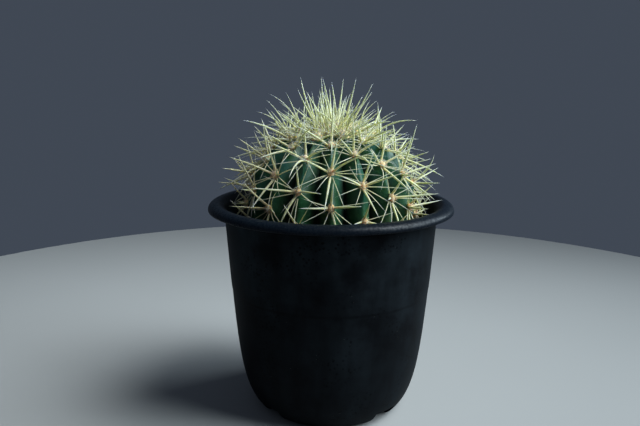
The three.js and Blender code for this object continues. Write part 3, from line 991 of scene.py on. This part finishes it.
def grow(thicket, spines, seat, kind, turn, tilt, arching=ARCHING):
    """Places one spine clear of the others, if it can. Each try is looser and shorter."""
    tone = random.uniform(0, 1)
    arched = random.uniform(0, 1) < arching
    stray = STRAY * random.uniform(0, 1) ** 2
    curves = ARCHED_CURVE if arched else kind["curve"]
    for attempt in range(PLACING_TRIES):
        looser = 1 + attempt / TRIES_TO_LOOSEN
        swing = math.radians(jitter(kind["swing"]) * looser)
        lift = math.radians(jitter(TILT_SWING) * looser)
        curve = math.radians(random.uniform(*curves))
        length = kind["length"] * (1 + jitter(kind["spread"])) * (1 - attempt / TRIES_TO_VANISH)
        points, axis = spine_points(seat, turn + swing, tilt + lift, length, kind["ring_r"], curve)
        line = np.array(points)
        if is_open(line, stray) and thicket.has_room(line, kind["root_r"]):
            thicket.keep(line, kind["root_r"])
            shares = np.linspace(0, 1, SPINE_STEPS + 1)[:-1]
            flare = 1 + ROOT_FLARE * np.exp(-shares / ROOT_FLARE_LENGTH)
            radii = kind["root_r"] * (1 - shares ** SPINE_TAPER_POWER) * flare
            vertices, faces = tube(points, radii, SPINE_SIDES, axis)
            along = [*np.repeat(shares, SPINE_SIDES), 1.0]
            spines.add(vertices, faces, along=along, tone=tone, age=seat["age"])
            return


def areole_pattern(youth, lowness):
    """The spines of an areole: kind, turn and tilt.

    Young ones near the crown stand up more, and the lowest is longer and arches out over the shoulder.
    """
    for turn, tilt, length, lift, growth, bow in LONG_SPINES:
        curve = tuple(bend + bow * youth for bend in STRONG["curve"])
        size = (1 + growth * youth - LOW_SHORTENING * lowness) * MM
        yield {**STRONG, "length": length * size, "curve": curve}, turn, tilt + lift * youth
    for turn, length in FINE_SPINES:
        for side in (1, -1):
            if random.uniform(0, 1) > MISSING + MISSING_LOW * lowness:
                yield {**FINE, "length": length * MM}, side * turn, FINE_TILT + YOUNG_FINE_TILT * youth


def make_side_spines(seats, thicket):
    spines = Gathered("along", "tone", "age")
    for seat in seats:
        youth = seat["youth"]
        arching = ARCHING + YOUNG_ARCHING * youth
        for kind, turn, tilt in areole_pattern(youth, seat["lowness"]):
            grow(thicket, spines, seat, kind, math.radians(turn), math.radians(tilt), arching)
        if youth > YOUNG:
            for turn in DROOPING_TURNS:
                grow(thicket, spines, seat, DROOPING, math.radians(turn), math.radians(DROOPING_TILT), 1)
            for turn in SHORT_TURNS:
                tilt = random.uniform(*SHORT_TILTS)
                grow(thicket, spines, seat, SHORT, math.radians(turn), math.radians(tilt))
    finished(spines.piece("rib_spines", spine_horn("rib_spines")), "cactus")


def spine_horn(name):
    """Hard horn: tan at the root, then lemon, greyer toward the tip, browner when worn and in painted shade
    at the left, with fine rings.
    """
    n = Nodes(name)
    along, tone = n.value("along"), n.value("tone")
    # The age holds both wear and, on the left side, painted shade.
    dulled = n.times(n.value("age"), n.ramp(tone, (0.1, 0.3), (0.9, 1.0)))
    horn = n.mix(dulled, n.ramp(along, *YOUNG_HORN), n.ramp(along, *WORN_HORN))
    toned = n.mix(n.times(tone, 0.3), horn, HORN_TONE)
    color = n.mix(n.times(n.noise(500, detail=3), 0.16), toned, HORN_MOTTLES)
    rings = n.bump(n.math("SINE", n.times(along, 190)), 0.05 * MM, strength=0.4)
    roughness = n.plus(n.times(tone, 0.15), 0.42)
    return n.finish(color, roughness, rings, specular_ior_level=0.35, subsurface_weight=0.85,
                    subsurface_scale=1.0, subsurface_radius=(2.2 * MM, 2.2 * MM, 1.4 * MM))


# Crown

def crown_seats():
    """Seats of the youngest areoles, packed on a sunflower spiral over the wool."""
    golden = math.pi * (3 - math.sqrt(5))
    for i in range(CROWN_CLUSTERS):
        share = math.sqrt((i + 0.5) / CROWN_CLUSTERS)
        outward, across = level_directions(i * golden)
        lean = math.radians(CROWN_LEAN * share)
        normal = outward * math.sin(lean) + Vector((0, 0, math.cos(lean)))
        place = outward * share * CROWN_SPREAD_R + Vector((0, 0, CROWN_BOTTOM + WOOL_RISE * math.cos(lean)))
        yield seat_at(place, normal, across, age=0.0)


def make_crown_spines(thicket):
    """Each seat has a tall spine, some middling ones and many fine low ones, placed in that order."""
    spines = Gathered("along", "tone", "age")
    seats = [*crown_seats()]
    for kind, count, low, high, around in CROWN_SPINES:
        for seat in seats:
            start = jitter(around)
            for i in range(count):
                turn = start + 2 * math.pi * i / count
                tilt = math.radians(random.uniform(low, high))
                grow(thicket, spines, seat, kind, turn, tilt, CROWN_ARCHING)
    finished(spines.piece("crown_spines", spine_horn("crown_spines")), "crown")


def make_crown_wool():
    """A low lumpy dome under loose hairs, with a tuft at each seat."""
    dome_z = CROWN_BOTTOM + WOOL_EDGE
    angles = np.radians(np.linspace(0, WOOL_LAST_ROW, WOOL_ROWS))
    dome = [(WOOL_R * math.cos(angle), dome_z + WOOL_RISE * math.sin(angle)) for angle in angles]
    outline = [(0, CROWN_BOTTOM), (WOOL_R - WOOL_EDGE, CROWN_BOTTOM), *dome, (0, dome_z + WOOL_RISE)]

    def lumpy(place):
        wider = place * (1 + WOOL_LUMPS * noise.noise(place / WOOL_LUMP_SIZE))
        return Vector((wider.x, wider.y, place.z))

    vertices, faces = turned(outline, WOOL_SEGMENTS, lumpy)
    wool = Gathered("age")
    wool.add(vertices, faces, age=0.0)
    for _ in range(WOOL_HAIRS):
        share = math.sqrt(random.uniform(0, 1))
        outward, _ = level_directions(random.uniform(0, 2 * math.pi))
        tangle = Vector((jitter(WOOL_TANGLE), jitter(WOOL_TANGLE), 0))
        lean = (Vector((0, 0, 1)) + outward * share * WOOL_LEAN + tangle).normalized()
        height = dome_z + WOOL_RISE * math.sqrt(max(1 - share * share, 0)) - WOOL_HAIR_SINK
        place = outward * share * WOOL_R + Vector((0, 0, height))
        length = random.uniform(*WOOL_HAIR_LENGTHS) * MM
        add_hair(wool, place, lean, length, WOOL_HAIR_R, age=0.0)
    for seat in crown_seats():
        add_tuft(wool, seat, TUFT_SIZE, TUFT_HAIRS, TUFT_AGE)
    finished(wool.piece("crown_wool", felt_wool("crown_wool")), "crown")


# Soil

def make_soil():
    """The block of potting mix: up the pot's wall, over the crumbled top and down round the plant."""
    inner_r = BODY_R + SOIL_OFF_BODY
    rim_r = wall_inner(SOIL_TOP) - SOIL_GAP
    rising = heights(SOIL_BOTTOM, SOIL_TOP, SOIL_SIDE_ROWS, crowding=1.6)
    side = [(wall_inner(z) - SOIL_GAP, z) for z in rising]
    top = [(rim_r + (inner_r - rim_r) * share, SOIL_TOP) for share in np.linspace(0, 1, SOIL_RINGS)[1:]]
    buried = [crest_point(latitude)[:2] for latitude in SOIL_HOLLOW_LATITUDES]
    buried += [(2 * ROOT_R, NECK_Z), (ROOT_R, NECK_Z - ROOT_R), (ROOT_TIP_R, ROOT_TIP_Z)]
    hollow = [(r + SOIL_GAP, z - SOIL_GAP_BELOW) for r, z in buried]
    outline = [(0, SOIL_BOTTOM), *side, *top, *hollow, (0, ROOT_TIP_Z - SOIL_GAP_BELOW)]

    def crumble(place):
        if abs(place.z - SOIL_TOP) > 0.001 * MM or place.xy.length > rim_r - 0.1 * MM:
            return place
        lumps = noise.noise(place / SOIL_LUMP) + 0.5 * noise.noise(place / SOIL_CRUMB)
        return place + Vector((0, 0, SOIL_RELIEF * lumps))

    vertices, faces = turned(outline, SOIL_SEGMENTS, crumble)
    finished(mesh_object("potting_mix", vertices, faces, peat()), "soil")


def grain_form():
    """A round pebble of eighty facets as vertices and faces, one unit across."""
    form = bmesh.new()
    bmesh.ops.create_icosphere(form, subdivisions=2, radius=0.5)
    form.verts.ensure_lookup_table()
    vertices = [v.co.copy() for v in form.verts]
    faces = [tuple(v.index for v in face.verts) for face in form.faces]
    form.free()
    return vertices, faces


def make_grains():
    """Grit and bark crumbs that lie half sunk over the soil's top."""
    vertices, faces = grain_form()
    grains = Gathered("tone")
    low = BODY_R + GRAIN_OFF_BODY
    high = wall_inner(SOIL_TOP) - GRAIN_OFF_WALL
    for _ in range(GRAINS):
        r = math.sqrt(random.uniform(low * low, high * high))
        turn = random.uniform(0, 2 * math.pi)
        size = random.uniform(*GRAIN_SIZES) * MM
        stretch = Matrix.Diagonal([random.uniform(*span) for span in GRAIN_STRETCHES])
        angle = random.uniform(0, math.pi)
        spin = Matrix.Rotation(angle, 3, Vector((jitter(1), jitter(1), 1)).normalized())
        shift = Vector([jitter(GRAIN_SHIFT) for _ in range(3)])
        lift = random.uniform(*GRAIN_LIFTS) * MM
        place = place_at(r, turn, SOIL_TOP + lift)
        shaped = []
        for v in vertices:
            rough = 1 + GRAIN_ROUGHNESS * noise.noise(v * GRAIN_LUMPS + shift)
            shaped.append(place + spin @ (stretch @ (v * rough)) * size)
        grains.add(shaped, faces, tone=random.uniform(0, 1))
    finished(grains.piece("soil_grains", grit()), "soil")


def peat():
    """Dark damp peat with paler fibres."""
    n = Nodes("potting_mix")
    fine = n.noise(700, detail=6, roughness=0.7)
    color = n.mix(fine, *PEAT_BROWNS)
    roughness = n.plus(n.times(fine, 0.1), 0.85)
    return n.finish(color, roughness, n.bump(n.noise(900, detail=5), 0.8 * MM, strength=0.8))


def grit():
    """Crumbs of bark, peat and grit, each in its own brown or grey."""
    n = Nodes("soil_grains")
    kinds = n.ramp(n.value("tone"), *GRIT_KINDS)
    fine = n.noise(1400, roughness=0.7)
    color = n.mix(n.times(fine, 0.6), kinds, GRIT_DARK)
    return n.finish(color, 0.9, n.bump(fine, 0.4 * MM, strength=0.8))


# Stage, lights and camera

def make_floor():
    """A plain pale round stage."""
    radius = 600 * MM
    edge = 2 * MM
    bottom = -20 * MM
    sharp_angle = math.radians(30)
    outline = [(0, bottom), (radius, bottom), (radius, -edge), (radius - edge, 0), (0, 0)]
    vertices, faces = turned(outline, segments=128)
    n = Nodes("floor")
    color = n.mix(n.noise(3, detail=2), *FLOOR_GREYS)
    floor = mesh_object("floor", vertices, faces, n.finish(color, 0.75))
    floor.data.set_sharp_from_angle(angle=sharp_angle)
    floor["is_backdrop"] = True


def make_lights():
    """Three soft lamps at the right: a little in front, a little behind and high up. The rest is dim."""
    for name, place, aim_z, size, spread, power, color in LAMPS:
        light = bpy.data.lights.new(name, "AREA")
        light.size = size
        light.spread = math.radians(spread)
        light.energy = power
        light.color = color
        lamp = new_object(name, light)
        lamp.location = Vector(place)
        lamp.visible_camera = False
        lamp.rotation_euler = (Vector((0, 0, aim_z)) - lamp.location).to_track_quat("-Z", "Y").to_euler()
    world = bpy.data.worlds.new("studio")
    world.use_nodes = True
    world.node_tree.nodes["Background"].inputs["Color"].default_value = (*STUDIO, 1)
    bpy.context.scene.world = world
    bpy.context.scene.view_settings.view_transform = "Standard"


def make_camera():
    """The camera of the photograph, rolled a little about the way it looks."""
    data = bpy.data.cameras.new("camera")
    data.sensor_width = SENSOR_WIDTH
    data.lens = FOCAL_PIXELS / PICTURE_WIDTH * SENSOR_WIDTH
    data.clip_start = CAMERA_NEAREST
    forward = Vector((
        math.sin(CAMERA_YAW) * math.cos(CAMERA_PITCH),
        math.cos(CAMERA_YAW) * math.cos(CAMERA_PITCH),
        -math.sin(CAMERA_PITCH),
    ))
    level = forward.cross(Vector((0, 0, 1))).normalized()
    above = level.cross(forward)
    right = level * math.cos(CAMERA_ROLL) + above * math.sin(CAMERA_ROLL)
    up = right.cross(forward)
    camera = new_object("camera", data)
    camera.matrix_world = Matrix((right, up, -forward)).transposed().to_4x4()
    camera.location = CAMERA_PLACE
    bpy.context.scene.camera = camera


make_camera()
make_floor()
make_lights()
make_pot()
make_soil()
make_grains()
make_body()
areoles = areole_seats()
placed_spines = Thicket()
make_felt(areoles)
make_crown_wool()
make_crown_spines(placed_spines)
make_side_spines(areoles, placed_spines)

boxes = {"cad": cad_box, "scene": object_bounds()}
{name: [list(corner) for corner in box] for name, box in boxes.items()}
